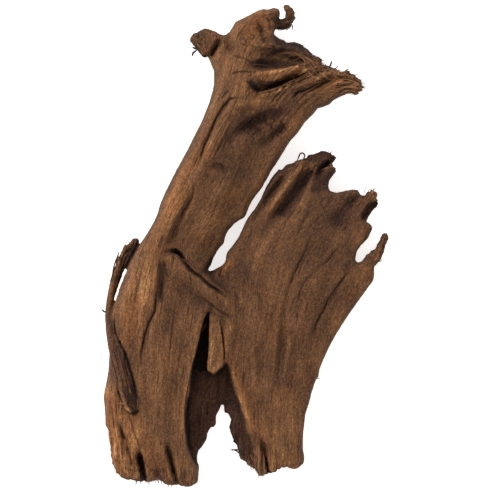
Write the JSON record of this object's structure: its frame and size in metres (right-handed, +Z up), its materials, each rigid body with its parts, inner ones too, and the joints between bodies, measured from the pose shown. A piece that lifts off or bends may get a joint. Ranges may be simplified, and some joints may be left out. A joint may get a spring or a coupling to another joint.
{
  "type": "piece of driftwood",
  "caption": "Flat-lying weathered root of driftwood: a flared crown, a thick trunk and leg, a torn fan-shaped plate with a second leg and a ridge across the fork.",
  "frame": {"origin": "on the ground under the middle of the piece's bounding box", "axes": "+Z up, away from the ground; +Y along the piece from the legs to the crown; +X to the right of the piece seen from above"},
  "size_m": [0.2134, 0.3604, 0.049],
  "materials": {
    "driftwood": "dry weathered brown wood, fibrous and matt"
  },
  "bodies": {
    "root": {"driftwood": "driftwood"}
  },
  "joints": []
}
